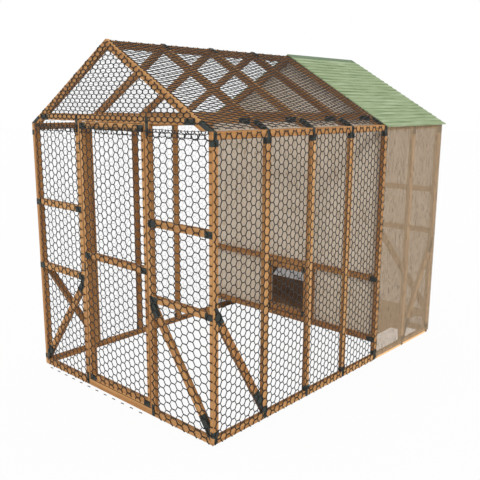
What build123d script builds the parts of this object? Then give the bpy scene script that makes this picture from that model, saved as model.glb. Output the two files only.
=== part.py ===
from build123d import *
import os
from math import cos, hypot, radians, sin, tan

os.makedirs("parts", exist_ok=True)

# Millimetres. x runs across the front from the centre line, y from the front face to the back,
# and z is up from the ground. Everything is moved to the part's own origin as it is written.

# Sawn timber, one section throughout, its long edges eased
FACE = 63.5
EDGE = 38.1
EASE = 2.0

# Overall sizes of the frame
WIDTH = 2520.0
RUN_LENGTH = 2456.0
COOP_LENGTH = 1265.0
POST_TALL = 2400.0
PITCH = 30.0
RUN_BAYS = 4
COOP_BAYS = 2
TIE_RAISE = 40.0

# Front and back walls: the doorway and the heights of the rails in the bays beside it
DOORWAY = 931.0
DOORWAY_OFFSET = 13.5
FRONT_RAILS = (1060.0, 1720.0)
BACK_RAILS = (1228.0, 1720.0)
FLOOR_RAIL = 207.0

# Wall between the run and the coop, with its pop door
UPPER_RAIL = 879.0
POP_CLEAR = 647.0
POP_OFFSET = 42.5

# Braces: the heights at which a brace's upper edge meets the post above and the post below
FRONT_BRACE_FOOT = 143.0
SIDE_BRACE = (1137.0, 201.0)
BACK_BRACE_FOOT = 350.0

# Raised floor of the coop: how far the joists lie below the top of the floor-level rails
JOIST_DROP = 16.0
DECK = 12.0

# Siding sheets and roofing
SIDING = 6.0
SIDING_LOW = 28.0
SIDING_LAP = 12.0
COURSES = 13
ROOF_THIN = 7.0
ROOF_THICK = 18.0
EAVE = 40.0
ROOF_FRONT = 6.0
ROOF_BACK = 24.0
CAP_LEG = 70.0
CAP_THICK = 3.0

# Bent steel plate
PLATE = 2.0
BAND_TALL = 50.0
FLANGE = 30.0
STRAP = 36.0
STRAP_LOW = 4.0
SHOE_LONG = 150.0
SADDLE_LEG = 110.0
SADDLE_SPARE = 5.0
SEAT_LONG = 50.0
SEAT_TALL = 56.0
TIE_PLATE_LONG = 120.0
TIE_PLATE_TALL = 46.0
CHANNEL_LONG = 125.0
CHANNEL_LAP = 38.0
CHANNEL_FLANGE = 22.0

# Wire netting: each net is one sheet of six-sided gaps inside a border. A gap reaches GAP_POINT of
# a column to each side at its points and GAP_FLAT at its flat ends
WIRE = 3.0
STRAND = 12.0
NET_BORDER = 14.0
MESH_WIDE = 285.0
MESH_TALL = 430.0
GABLE_MESH = (427.5, 215.0)
GAP_POINT = 0.72
GAP_FLAT = 0.28
SMALLEST_GAP = 2500.0
NET_LOW = 3.0
HEM_REACH = 50.0
HEM_TOOTH = 60.0
HEM_NOTCH = 30.0

# Doors: running gaps, hinges and bolts
DOOR_GAP = 8.3
DOOR_RAISE = 5.5
MID_RAIL = 1294.0
POP_GAP = 7.0
HINGE_TALL = 76.0
KNUCKLE_R = 5.0
PIN_R = 2.5
PIN_CLEAR = 0.05
KNUCKLE_CLEAR = 0.4
PIN_OUT = 7.0
LEAF_REACH = 36.0
DOOR_HINGES = (250.0, 1200.0, 2350.0)
ROD_R = 5.0
ROD_CLEAR = 0.5
ROD_OUT = 10.0
BOLT_THROW = 34.0
KNOB_R = 3.5
KNOB_OUT = 20.0

# Places worked out from the sizes above
HALF = WIDTH / 2
INSIDE = HALF - EDGE
LENGTH = RUN_LENGTH + COOP_LENGTH
SILL_TOP = FACE
PLATE_LOW = SILL_TOP + POST_TALL
PLATE_TOP = PLATE_LOW + FACE
SLOPE = tan(radians(PITCH))
ALONG, ACROSS = cos(radians(PITCH)), sin(radians(PITCH))
APEX = PLATE_TOP + HALF * SLOPE
TIE_LOW = PLATE_TOP + TIE_RAISE
RUN_BAY = RUN_LENGTH / RUN_BAYS
COOP_BAY = (COOP_LENGTH - FACE) / COOP_BAYS
POST_Y = [bay * RUN_BAY for bay in range(RUN_BAYS)]
POST_Y += [RUN_LENGTH + bay * COOP_BAY for bay in range(COOP_BAYS + 1)]
TRUSS_Y = POST_Y[:-1] + [LENGTH - EDGE]
DOOR_LEFT = DOORWAY_OFFSET - DOORWAY / 2
DOOR_RIGHT = DOORWAY_OFFSET + DOORWAY / 2
POP_LEFT = POP_OFFSET - POP_CLEAR / 2
POP_RIGHT = POP_OFFSET + POP_CLEAR / 2
FLOOR_RAIL_TOP = FLOOR_RAIL + FACE
WALL_BACK = RUN_LENGTH + EDGE
PARTITION_SKIN = WALL_BACK + PLATE
DECK_FRONT = PARTITION_SKIN + SIDING
JOIST_TOP = FLOOR_RAIL_TOP - JOIST_DROP
SKIN_OUT = PLATE + SIDING
BACK_REACH = SKIN_OUT + ROD_OUT + KNOB_OUT
Y_MID = (LENGTH + BACK_REACH - HEM_REACH) / 2


def save(name, solids):
    """Write one node: its separate solids side by side, at the part's own origin."""
    pieces = [solid for piece in solids for solid in piece.solids()]
    export_step(Pos(0, -Y_MID, 0) * Compound(children=pieces), f"parts/{name}.step")


def slab(x0, x1, y0, y1, z0, z1):
    """A flat-sided block between two corners."""
    size = (abs(x1 - x0), abs(y1 - y0), abs(z1 - z0))
    corner = Pos(min(x0, x1), min(y0, y1), min(z0, z1))
    return corner * Box(*size, align=(Align.MIN, Align.MIN, Align.MIN))


def timber(x0, x1, y0, y1, z0, z1):
    """A straight length of timber between two corners, its four long edges eased."""
    size = (abs(x1 - x0), abs(y1 - y0), abs(z1 - z0))
    along = (Axis.X, Axis.Y, Axis.Z)[size.index(max(size))]
    return chamfer(slab(x0, x1, y0, y1, z0, z1).edges().filter_by(along), EASE)


def outline(*points):
    """A flat face through points."""
    return Polygon(*points, align=None)


def panel(u0, u1, v0, v1):
    """A rectangular face between two corners."""
    return outline((u0, v0), (u1, v0), (u1, v1), (u0, v1))


def upright(face, y0, y1):
    """Stand a face drawn in x and z upright, filling from y0 to y1."""
    return extrude(Plane.XZ.offset(-y0) * face, amount=y1 - y0, dir=(0, 1, 0))


def sideways(face, x0, x1):
    """Stand a face drawn in y and z along a side wall, filling from x0 to x1."""
    return extrude(Plane.YZ.offset(x0) * face, amount=x1 - x0, dir=(1, 0, 0))


def front_wall(face, depth0, depth1):
    """Fill a face of the front wall between two depths behind its outer face."""
    return upright(face, depth0, depth1)


def right_wall(face, depth0, depth1):
    """Fill a face of the right wall between two depths behind its outer face."""
    return sideways(face, HALF - depth1, HALF - depth0)


def left(solids):
    """The same pieces on the left side."""
    return [mirror(solid, Plane.YZ) for solid in solids]


def back(solids):
    """The front wall's pieces, turned to the back wall."""
    return [mirror(solid, Plane.XZ.offset(-LENGTH / 2)) for solid in solids]


def roof_line(x, lift=0.0):
    """Height of the rafters' upper edges at x, plus a lift square to the slope."""
    return APEX - abs(x) * SLOPE + lift / ALONG


# Sills, posts and wall plates
side_sill = timber(INSIDE, HALF, 0, LENGTH, 0, SILL_TOP)
end_sill = timber(-INSIDE, INSIDE, 0, EDGE, 0, SILL_TOP)
side_posts = [timber(INSIDE, HALF, y, y + FACE, SILL_TOP, PLATE_LOW) for y in POST_Y]
door_posts = [
    timber(DOOR_LEFT - FACE, DOOR_LEFT, 0, EDGE, SILL_TOP, TIE_LOW),
    timber(DOOR_RIGHT, DOOR_RIGHT + FACE, 0, EDGE, SILL_TOP, TIE_LOW),
]
wall_plate = timber(INSIDE, HALF, 0, LENGTH, PLATE_LOW, PLATE_TOP)
save("side_sills", [side_sill] + left([side_sill]))
save("end_sills", [end_sill] + back([end_sill]))
save("posts_right", side_posts)
save("posts_left", left(side_posts))
save("door_posts", door_posts + back(door_posts))
save("wall_plates", [wall_plate] + left([wall_plate]))


# Rails in the bays beside the doorways, and the floor-level rail across the back
def bay_rails(height):
    """A rail in each bay beside a doorway."""
    return [
        timber(-INSIDE, DOOR_LEFT - FACE, 0, EDGE, height, height + FACE),
        timber(DOOR_RIGHT + FACE, INSIDE, 0, EDGE, height, height + FACE),
    ]


sill_rail = timber(DOOR_LEFT, DOOR_RIGHT, 0, EDGE, FLOOR_RAIL, FLOOR_RAIL_TOP)
front_rails = [rail for height in FRONT_RAILS for rail in bay_rails(height)]
back_rails = [rail for height in BACK_RAILS + (FLOOR_RAIL,) for rail in bay_rails(height)]
save("rails_front", front_rails)
save("rails_back", back(back_rails + [sill_rail]))

# The wall between run and coop: two rails with two studs between them
coop_rails = [
    timber(-INSIDE, INSIDE, RUN_LENGTH, WALL_BACK, height, height + FACE)
    for height in (FLOOR_RAIL, UPPER_RAIL)
]
coop_studs = [
    timber(POP_LEFT - FACE, POP_LEFT, RUN_LENGTH, WALL_BACK, FLOOR_RAIL_TOP, UPPER_RAIL),
    timber(POP_RIGHT, POP_RIGHT + FACE, RUN_LENGTH, WALL_BACK, FLOOR_RAIL_TOP, UPPER_RAIL),
]
save("coop_wall_frame", coop_rails + coop_studs)

# Trusses: a pair of rafters with seat and plumb cuts, and a tie mitred between them
RAFTER_DROP = FACE / ALONG
rafter_face = outline(
    (0, APEX),
    (HALF, PLATE_TOP),
    (HALF - RAFTER_DROP / SLOPE, PLATE_TOP),
    (0, APEX - RAFTER_DROP),
)
rafters = [upright(rafter_face, y, y + EDGE) for y in TRUSS_Y]


def under_rafter(z):
    """The x at which the rafters' lower edges reach a height."""
    return (APEX - RAFTER_DROP - z) / SLOPE


TIE_TOP = TIE_LOW + FACE
tie_face = outline(
    (-under_rafter(TIE_LOW), TIE_LOW),
    (under_rafter(TIE_LOW), TIE_LOW),
    (under_rafter(TIE_TOP), TIE_TOP),
    (-under_rafter(TIE_TOP), TIE_TOP),
)
save("rafters_right", rafters)
save("rafters_left", left(rafters))
save("ties", [upright(tie_face, y, y + EDGE) for y in TRUSS_Y])

# Ridge beam, in lengths between the trusses, its top corners just under the roof planes
RIDGE_TOP = roof_line(EDGE / 2)
ridge_lengths = []
for start, end in zip(TRUSS_Y, TRUSS_Y[1:]):
    behind_skin = PLATE + SIDING if start == RUN_LENGTH else 0
    y0 = start + EDGE + behind_skin
    ridge_lengths.append(timber(-EDGE / 2, EDGE / 2, y0, end, RIDGE_TOP - FACE, RIDGE_TOP))
save("ridge_beam", ridge_lengths)

# Raised floor: joists from side post to side post, and the deck on them
JOIST_Y = (DECK_FRONT, POST_Y[-2], LENGTH - 2 * EDGE)
joists = [timber(-INSIDE, INSIDE, y, y + EDGE, JOIST_TOP - FACE, JOIST_TOP) for y in JOIST_Y]
save("floor_joists", joists)
save("coop_floor", [slab(-INSIDE, INSIDE, DECK_FRONT, LENGTH - EDGE, JOIST_TOP, JOIST_TOP + DECK)])


# Braces: a timber cut to its bay below a sloping line, with a bent channel over each end
def strip(high, low, start, end, grow):
    """A strip below the line from high to low, from start to end along it."""
    run = Vector(low[0] - high[0], low[1] - high[1])
    along = run.normalized()
    down = Vector(along.Y, -along.X) if along.X > 0 else Vector(-along.Y, along.X)
    origin = Vector(*high)
    corners = [
        origin + along * start - down * grow,
        origin + along * end - down * grow,
        origin + along * end + down * (FACE + grow),
        origin + along * start + down * (FACE + grow),
    ]
    return outline(*[(corner.X, corner.Y) for corner in corners])


def brace_and_channels(high, low, room, build, sill_lap=CHANNEL_LAP):
    """A brace from high on one post to low on the next, and its two end channels."""
    (u0, u1), (v0, v1) = room
    span = hypot(low[0] - high[0], low[1] - high[1])
    bay = panel(u0, u1, v0, v1)
    body = build(strip(high, low, -span, 2 * span, 0) & bay, 0, EDGE)
    lap = (u0 - CHANNEL_LAP, u1) if high[0] < low[0] else (u0, u1 + CHANNEL_LAP)
    channels = []
    for start, end, lap_panel in (
        (-CHANNEL_LONG, CHANNEL_LONG, panel(*lap, v0, v1)),
        (span - CHANNEL_LONG, span + CHANNEL_LONG, panel(u0, u1, v0 - sill_lap, v1)),
    ):
        wide = strip(high, low, start, end, PLATE)
        flanges = (wide & bay) - strip(high, low, -span, 2 * span, 0)
        face_plate = build(wide & lap_panel, -PLATE, 0)
        channels.append(face_plate + build(flanges, -PLATE, CHANNEL_FLANGE))
    return body, channels


front_brace, front_channels = brace_and_channels(
    (DOOR_RIGHT + FACE, FRONT_RAILS[0] - PLATE),
    (INSIDE, FRONT_BRACE_FOOT),
    ((DOOR_RIGHT + FACE, INSIDE), (SILL_TOP, FRONT_RAILS[0] - PLATE)),
    front_wall,
)
front_brace_2, front_channels_2 = brace_and_channels(
    (DOOR_LEFT - FACE, FRONT_RAILS[0] - PLATE),
    (-INSIDE, FRONT_BRACE_FOOT),
    ((-INSIDE, DOOR_LEFT - FACE), (SILL_TOP, FRONT_RAILS[0] - PLATE)),
    front_wall,
)
back_brace, back_channels = brace_and_channels(
    (DOOR_RIGHT + FACE, BACK_RAILS[0] - PLATE),
    (INSIDE, BACK_BRACE_FOOT),
    ((DOOR_RIGHT + FACE, INSIDE), (FLOOR_RAIL_TOP, BACK_RAILS[0] - PLATE)),
    front_wall,
    FACE - SEAT_TALL,
)
back_brace_2, back_channels_2 = brace_and_channels(
    (DOOR_LEFT - FACE, BACK_RAILS[0] - PLATE),
    (-INSIDE, BACK_BRACE_FOOT),
    ((-INSIDE, DOOR_LEFT - FACE), (FLOOR_RAIL_TOP, BACK_RAILS[0] - PLATE)),
    front_wall,
    FACE - SEAT_TALL,
)
run_brace, run_channels = brace_and_channels(
    (FACE, SIDE_BRACE[0]),
    (POST_Y[1], SIDE_BRACE[1]),
    ((FACE, POST_Y[1] - PLATE), (SILL_TOP, PLATE_LOW)),
    right_wall,
)
coop_brace, coop_channels = brace_and_channels(
    (POST_Y[-1], SIDE_BRACE[0]),
    (POST_Y[-2] + FACE, SIDE_BRACE[1]),
    ((POST_Y[-2] + FACE + PLATE, POST_Y[-1]), (SILL_TOP, PLATE_LOW)),
    right_wall,
)
side_braces = [run_brace, coop_brace]
end_braces = [front_brace, front_brace_2] + back([back_brace, back_brace_2])
side_channels = run_channels + coop_channels
end_channels = front_channels + front_channels_2 + back(back_channels + back_channels_2)
save("braces_sides", side_braces + left(side_braces))
save("braces_ends", end_braces)
save("brace_channels", side_channels + left(side_channels) + end_channels)


# Post brackets: a band round three sides of each side post, with a strap over the sill or plate
def band(y, z0, z1):
    """A bent plate round three sides of a side post."""
    turn = outline(
        (HALF - FLANGE, y - PLATE),
        (HALF + PLATE, y - PLATE),
        (HALF + PLATE, y + FACE + PLATE),
        (HALF - FLANGE, y + FACE + PLATE),
        (HALF - FLANGE, y + FACE),
        (HALF, y + FACE),
        (HALF, y),
        (HALF - FLANGE, y),
    )
    return extrude(Plane.XY.offset(z0) * turn, amount=z1 - z0, dir=(0, 0, 1))


def strap(y, z0, z1):
    """A narrow strap down the outer face of a side wall, in line with the post's middle."""
    middle = y + FACE / 2
    return slab(HALF, HALF + PLATE, middle - STRAP / 2, middle + STRAP / 2, z0, z1)


feet = [
    band(y, SILL_TOP, SILL_TOP + BAND_TALL) + strap(y, STRAP_LOW, SILL_TOP + BAND_TALL)
    for y in POST_Y
]
heads = [
    band(y, PLATE_LOW - BAND_TALL, PLATE_LOW) + strap(y, PLATE_LOW - BAND_TALL, PLATE_TOP - PLATE)
    for y in POST_Y
]


def face_strap(x0, x1, z0, z1, y=0.0):
    """A flat plate on the front face of a wall."""
    return slab(x0, x1, y - PLATE, y, z0, z1)


post_straps = [
    face_strap(x + (FACE - STRAP) / 2, x + (FACE + STRAP) / 2, z0, z1)
    for x in (DOOR_LEFT - FACE, DOOR_RIGHT)
    for z0, z1 in (
        (STRAP_LOW + NET_LOW, SILL_TOP + BAND_TALL),
        (TIE_LOW - 2 * BAND_TALL, TIE_LOW + BAND_TALL),
    )
]
save("foot_brackets", feet + left(feet))
save("head_brackets", heads + left(heads))
save("door_post_straps", post_straps + back(post_straps))

# Rafter shoes: a channel turned over each rafter's foot, cut level on the wall plate
shoe_cut = panel(0, HALF + FACE, PLATE_TOP, APEX)
foot = Vector(HALF, PLATE_TOP)
up_slope = Vector(-ALONG, ACROSS)
out_of_slope = Vector(ACROSS, ALONG)


def slope_point(s, t):
    """The x and z of a point s up the right slope and t out from the rafters' upper edges."""
    place = foot + up_slope * s + out_of_slope * t
    return (place.X, place.Y)


shoe_side = outline(
    slope_point(0, PLATE),
    slope_point(0, -FLANGE),
    slope_point(SHOE_LONG, -FLANGE),
    slope_point(SHOE_LONG, PLATE),
)
shoes = [
    upright(shoe_side & shoe_cut, y - PLATE, y + EDGE + PLATE) - rafter
    for y, rafter in zip(TRUSS_Y, rafters)
]
save("rafter_shoes", shoes + left(shoes))

# Tie plates: an angle on the front of each truss over the joint of tie and rafter
TIE_PLATE_IN = under_rafter(TIE_LOW) - TIE_PLATE_LONG + STRAP / 2
tie_plates = [
    slab(TIE_PLATE_IN, TIE_PLATE_IN + TIE_PLATE_LONG, y - PLATE, y, TIE_LOW, TIE_LOW + TIE_PLATE_TALL)
    for y in TRUSS_Y
]
save("tie_plates", tie_plates + left(tie_plates))


# Ridge saddles: bent plate over the ridge of each inner truss
def ridge_fold(leg, inner, outer):
    """An inverted V over the ridge between two offsets from the rafters' upper edges."""
    return outline(
        (-leg, roof_line(leg, inner)),
        (0, roof_line(0, inner)),
        (leg, roof_line(leg, inner)),
        (leg, roof_line(leg, outer)),
        (0, roof_line(0, outer)),
        (-leg, roof_line(leg, outer)),
    )


saddle = ridge_fold(SADDLE_LEG * ALONG, 0, PLATE)
save(
    "ridge_saddles",
    [upright(saddle, y - SADDLE_SPARE, y + EDGE + SADDLE_SPARE) for y in TRUSS_Y[1:-1]],
)


# Rail brackets: an angle under the end of each rail, its plate lapping onto the post
def rail_seat(x, way, low, lap, y=0.0):
    """The seat of a rail that runs from x in the direction given by way, plus or minus one."""
    face_plate = slab(x - way * lap, x + way * SEAT_LONG, y - PLATE, y, low - PLATE, low + SEAT_TALL)
    shelf = slab(x, x + way * SEAT_LONG, y - PLATE, y + FLANGE, low - PLATE, low)
    return face_plate + shelf


CORNER_LAP = EDGE - EASE
POST_LAP = FACE - STRAP / 2


def bay_seats(height):
    """The four rail seats of a pair of rails beside a doorway."""
    return [
        rail_seat(-INSIDE, 1, height, CORNER_LAP),
        rail_seat(DOOR_LEFT - FACE, -1, height, POST_LAP),
        rail_seat(DOOR_RIGHT + FACE, 1, height, POST_LAP),
        rail_seat(INSIDE, -1, height, CORNER_LAP),
    ]


front_seats = [seat for height in FRONT_RAILS for seat in bay_seats(height)]
back_seats = [seat for height in BACK_RAILS + (FLOOR_RAIL,) for seat in bay_seats(height)]
coop_seats = [
    rail_seat(-way * INSIDE, way, height, CORNER_LAP, RUN_LENGTH)
    for way in (-1, 1)
    for height in (FLOOR_RAIL, UPPER_RAIL)
]
STUD_PLATE = 70.0
stud_plates = [
    face_strap(x + STRAP / 4, x + FACE - STRAP / 4, z - STUD_PLATE / 2, z + STUD_PLATE / 2, RUN_LENGTH)
    for x in (POP_LEFT - FACE, POP_RIGHT)
    for z in (FLOOR_RAIL_TOP, UPPER_RAIL)
]
save("rail_brackets", front_seats + back(back_seats) + coop_seats + stud_plates)

# Joist hangers: an angle on each side post under a joist's end
HANGER = 60.0
hangers = [
    slab(INSIDE - PLATE, INSIDE, y, y + EDGE, JOIST_TOP - FACE - HANGER, JOIST_TOP - FACE)
    + slab(INSIDE - SEAT_LONG, INSIDE, y, y + EDGE, JOIST_TOP - FACE - PLATE, JOIST_TOP - FACE)
    for y in JOIST_Y
]
save("joist_hangers", hangers + left(hangers))

# Coop siding. The side sheets stop at the back sheet's inner face
EAVE_DROP = 6.0
side_sheet = sideways(
    panel(RUN_LENGTH + FACE - SIDING_LAP, LENGTH + PLATE, SIDING_LOW, PLATE_TOP - EAVE_DROP),
    HALF + PLATE,
    HALF + SKIN_OUT,
)
save("siding_right", [side_sheet])
save("siding_left", left([side_sheet]))

# The back sheets lap the doorway posts and stay clear of the door's hinges and free edge
DOORWAY_LAP = 9.0
edge_x = HALF + SKIN_OUT
back_bays = [
    outline(
        (-edge_x, SIDING_LOW),
        (DOOR_LEFT - DOORWAY_LAP, SIDING_LOW),
        (DOOR_LEFT - DOORWAY_LAP, TIE_LOW),
        (-(APEX - TIE_LOW) / SLOPE, TIE_LOW),
        (-edge_x, roof_line(edge_x)),
    ),
    outline(
        (DOOR_RIGHT + DOORWAY_LAP, SIDING_LOW),
        (edge_x, SIDING_LOW),
        (edge_x, roof_line(edge_x)),
        ((APEX - TIE_LOW) / SLOPE, TIE_LOW),
        (DOOR_RIGHT + DOORWAY_LAP, TIE_LOW),
    ),
]
gable = outline(
    (-(APEX - TIE_LOW) / SLOPE, TIE_LOW),
    ((APEX - TIE_LOW) / SLOPE, TIE_LOW),
    (0, APEX),
)
back_sheets = back_bays + [gable]
save("siding_back", [upright(face, LENGTH + PLATE, LENGTH + SKIN_OUT) for face in back_sheets])

# The sheet between run and coop has the pop hole cut in it, as large as the pop door's frame
POP_FRAME = (POP_LEFT + POP_GAP + FACE, POP_RIGHT - POP_GAP - FACE)
POP_FRAME_Z = (FLOOR_RAIL_TOP + POP_GAP + FACE, UPPER_RAIL - POP_GAP - FACE)
coop_front = outline(
    (-INSIDE, FLOOR_RAIL),
    (INSIDE, FLOOR_RAIL),
    (INSIDE, roof_line(INSIDE)),
    (0, APEX),
    (-INSIDE, roof_line(INSIDE)),
) - panel(*POP_FRAME, *POP_FRAME_Z)
save("siding_coop_front", [upright(coop_front, PARTITION_SKIN, DECK_FRONT)])

# Roofing: one sheet a side, its upper face stepped in courses that lap from the ridge down
def ridge_end(t):
    """How far up the slope the plumb cut at the ridge lies, at t above the rafters."""
    return (HALF + t * ACROSS) / ALONG


FLAT_END = ridge_end(ROOF_THIN) - CAP_LEG
EAVE_START = -EAVE / ALONG
course = (FLAT_END - EAVE_START) / COURSES
steps = []
for number in range(COURSES):
    steps.append(slope_point(EAVE_START + number * course, ROOF_THICK))
    steps.append(slope_point(EAVE_START + (number + 1) * course, ROOF_THIN))
roof_profile = outline(
    slope_point(EAVE_START, PLATE),
    *steps,
    slope_point(ridge_end(ROOF_THIN), ROOF_THIN),
    slope_point(ridge_end(PLATE), PLATE),
)
roof = upright(roof_profile, RUN_LENGTH - ROOF_FRONT, LENGTH + ROOF_BACK)
save("roof_right", [roof])
save("roof_left", left([roof]))
cap = ridge_fold((CAP_LEG - CAP_THICK) * ALONG, ROOF_THIN, ROOF_THIN + CAP_THICK)
save("ridge_cap", [upright(cap, RUN_LENGTH - ROOF_FRONT, LENGTH + ROOF_BACK)])


# Wire netting: rows of gaps in staggered columns, cut off at the border
def netting(points, wide, tall):
    """A holed face inside a convex outline, with gaps of the given pitch."""
    sheet = outline(*points)
    box = sheet.bounding_box()
    columns = round(box.size.X / wide)
    rows = round(box.size.Y / tall)
    step_u = box.size.X / max(columns, 1)
    step_v = box.size.Y / max(rows, 1)
    half_tall = (step_v - STRAND) / 2
    wide_half = GAP_POINT * step_u - STRAND / 2
    short_half = GAP_FLAT * step_u - STRAND / 2
    gaps = []
    for column in range(columns + 1):
        for row in range(-1, rows + 1):
            u = box.min.X + column * step_u
            v = box.min.Y + (row + 0.5 + 0.5 * (column % 2)) * step_v
            gaps.append(
                outline(
                    (u - short_half, v - half_tall),
                    (u + short_half, v - half_tall),
                    (u + wide_half, v),
                    (u + short_half, v + half_tall),
                    (u - short_half, v + half_tall),
                    (u - wide_half, v),
                )
            )
    inner = offset(sheet, -NET_BORDER, kind=Kind.INTERSECTION)
    kept = [face for face in (Sketch() + gaps & inner).faces() if face.area > SMALLEST_GAP]
    return sheet - kept


def rectangle(u0, u1, v0, v1):
    """The corners of a rectangle."""
    return [(u0, v0), (u1, v0), (u1, v1), (u0, v1)]


NET_TOP = PLATE_TOP - EAVE_DROP
NET_IN = 50.0
NET_GAP = 2.0
NET_SPLIT = TIE_LOW + NET_GAP / 2
wall_net = sideways(
    netting(rectangle(0, RUN_LENGTH + FACE - SIDING_LAP - NET_GAP, NET_LOW, NET_TOP), MESH_WIDE, MESH_TALL),
    HALF + PLATE,
    HALF + PLATE + WIRE,
)
save("net_right", [wall_net])
save("net_left", left([wall_net]))

# Front nets lap the doorway posts and stop short of the door's hinges and free edge
front_left_net = netting(
    rectangle(-HALF + NET_IN, DOOR_LEFT - DOORWAY_LAP, NET_LOW, roof_line(HALF - NET_IN)),
    MESH_WIDE,
    MESH_TALL,
)
front_right_net = netting(
    rectangle(DOOR_RIGHT + DOORWAY_LAP, HALF - NET_GAP, NET_LOW, PLATE_TOP),
    MESH_WIDE,
    MESH_TALL,
)
gable_x = (APEX - NET_SPLIT) / SLOPE
gable_net = netting([(-gable_x, NET_SPLIT), (gable_x, NET_SPLIT), (0, APEX)], *GABLE_MESH)
save("net_front_left", [upright(front_left_net, -PLATE - WIRE, -PLATE)])
save("net_front_right", [upright(front_right_net, -PLATE - WIRE, -PLATE)])
save("net_gable", [upright(gable_net, -PLATE - WIRE, -PLATE)])

# Roof nets lie on the shoes and saddles and end at the roofing's front edge
ROOF_PLANE = Plane(origin=(HALF, 0, PLATE_TOP), x_dir=(0, 1, 0), z_dir=(ACROSS, 0, ALONG))
NET_EAVE = 4.0
roof_net_face = netting(
    rectangle(0, RUN_LENGTH - ROOF_FRONT - NET_GAP, NET_EAVE, ridge_end(PLATE) - NET_EAVE),
    MESH_WIDE,
    MESH_TALL,
)
roof_net = extrude(
    ROOF_PLANE.offset(PLATE) * roof_net_face, amount=WIRE, dir=(ACROSS, 0, ALONG)
)
save("net_roof_right", [roof_net])
save("net_roof_left", left([roof_net]))

# The hem: the foot of the front netting, turned out on the ground, its cut edge toothed
hem_end = DOOR_RIGHT - FACE / 2
teeth = int((hem_end + HALF - 2 * NET_IN) / HEM_TOOTH)
hem_points = [(hem_end, -PLATE), (-HALF + 2 * NET_IN, -PLATE)]
for tooth in range(teeth + 1):
    reach = HEM_REACH if tooth % 2 == 0 else HEM_NOTCH
    hem_points.append((-HALF + 2 * NET_IN + tooth * HEM_TOOTH, -reach))
hem = extrude(outline(*hem_points), amount=NET_LOW, dir=(0, 0, 1))
save("net_hem", [hem])


# Butt hinges about a z axis: the fixed leaf carries the pin, the other leaf swings
def knuckle(z0, z1):
    """A length of the hinge's barrel."""
    return Pos(0, 0, (z0 + z1) / 2) * Cylinder(KNUCKLE_R, z1 - z0)


def hinge(gap):
    """The fixed and swinging leaves of a hinge in a gap between post and door."""
    end = HINGE_TALL / 2
    middle = HINGE_TALL / 6
    clear = KNUCKLE_R + KNUCKLE_CLEAR
    fixed = slab(-gap / 2, -gap / 2 + PLATE, clear, LEAF_REACH, -end, end)
    for z0, z1 in ((-end, -middle), (middle, end)):
        fixed += slab(-gap / 2, -gap / 2 + PLATE, 0, clear, z0, z1) + knuckle(z0, z1)
    fixed += Cylinder(PIN_R, HINGE_TALL)
    inner = middle - KNUCKLE_CLEAR
    swinging = slab(gap / 2 - PLATE, gap / 2, clear, LEAF_REACH, -end, end)
    swinging += slab(gap / 2 - PLATE, gap / 2, 0, clear, -inner, inner) + knuckle(-inner, inner)
    swinging -= Cylinder(PIN_R + PIN_CLEAR, HINGE_TALL)
    return fixed, swinging


def hinges(gap, x, y, heights):
    """A row of hinges up one door, at a pin line."""
    fixed, swinging = hinge(gap)
    places = [Pos(x, y, height) for height in heights]
    return [place * fixed for place in places], [place * swinging for place in places]


HINGE_X = DOOR_LEFT + DOOR_GAP / 2
POP_HINGE_X = POP_LEFT + POP_GAP / 2
POP_LOW = FLOOR_RAIL_TOP + POP_GAP
POP_HIGH = UPPER_RAIL - POP_GAP
pop_heights = (POP_LOW + 2 * FACE, POP_HIGH - 2 * FACE)
front_fixed, front_swing = hinges(DOOR_GAP, HINGE_X, -PIN_OUT, DOOR_HINGES)
back_heights = (FLOOR_RAIL_TOP + 2 * FACE,) + DOOR_HINGES[1:]
back_fixed, back_swing = hinges(DOOR_GAP, HINGE_X, -PIN_OUT, back_heights)
pop_fixed, pop_swing = hinges(POP_GAP, POP_HINGE_X, RUN_LENGTH - PIN_OUT, pop_heights)
save("hinge_leaves_fixed", front_fixed + back(back_fixed) + pop_fixed)
save("front_door_hinges", front_swing)
save("back_door_hinges", back(back_swing))
save("pop_door_hinges", pop_swing)

# Door leaves: the stiles stand on edge, and three rails are set flush with their fronts
LEAF_LEFT = DOOR_LEFT + DOOR_GAP
LEAF_RIGHT = DOOR_RIGHT - DOOR_GAP
LEAF_TOP = TIE_LOW - DOOR_RAISE
FRONT_LOW = SILL_TOP + DOOR_RAISE
BACK_LOW = FLOOR_RAIL_TOP + DOOR_RAISE
ROD_Z = MID_RAIL + FACE / 2
ROD_Y = EDGE + ROD_OUT


def stiles(low):
    """The two stiles of a door leaf."""
    return [
        timber(LEAF_LEFT, LEAF_LEFT + EDGE, 0, FACE, low, LEAF_TOP),
        timber(LEAF_RIGHT - EDGE, LEAF_RIGHT, 0, FACE, low, LEAF_TOP),
    ]


def door_rails(low):
    """The three rails of a door leaf."""
    return [
        timber(LEAF_LEFT + EDGE, LEAF_RIGHT - EDGE, 0, EDGE, height, height + FACE)
        for height in (low, MID_RAIL, LEAF_TOP - FACE)
    ]


def door_plates(low):
    """The angles that hold the ends of a leaf's rails."""
    lap = EDGE - KNUCKLE_R
    heights = (low, MID_RAIL, LEAF_TOP - FACE)
    seats = []
    for height in heights:
        seats.append(rail_seat(LEAF_LEFT + EDGE, 1, height, lap))
        seats.append(rail_seat(LEAF_RIGHT - EDGE, -1, height, lap))
    return seats


front_stiles = stiles(FRONT_LOW)
rod_hole = Pos(LEAF_RIGHT, ROD_Y, ROD_Z) * Rot(0, 90, 0) * Cylinder(ROD_R + ROD_CLEAR, 4 * EDGE)
save("front_door_stiles", [front_stiles[0], front_stiles[1] - rod_hole])
save("front_door_rails", door_rails(FRONT_LOW))
save("back_door_stiles", back(stiles(BACK_LOW)))
save("back_door_rails", back(door_rails(BACK_LOW)))
save("front_door_brackets", door_plates(FRONT_LOW))
save("back_door_brackets", back(door_plates(BACK_LOW)))

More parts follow.
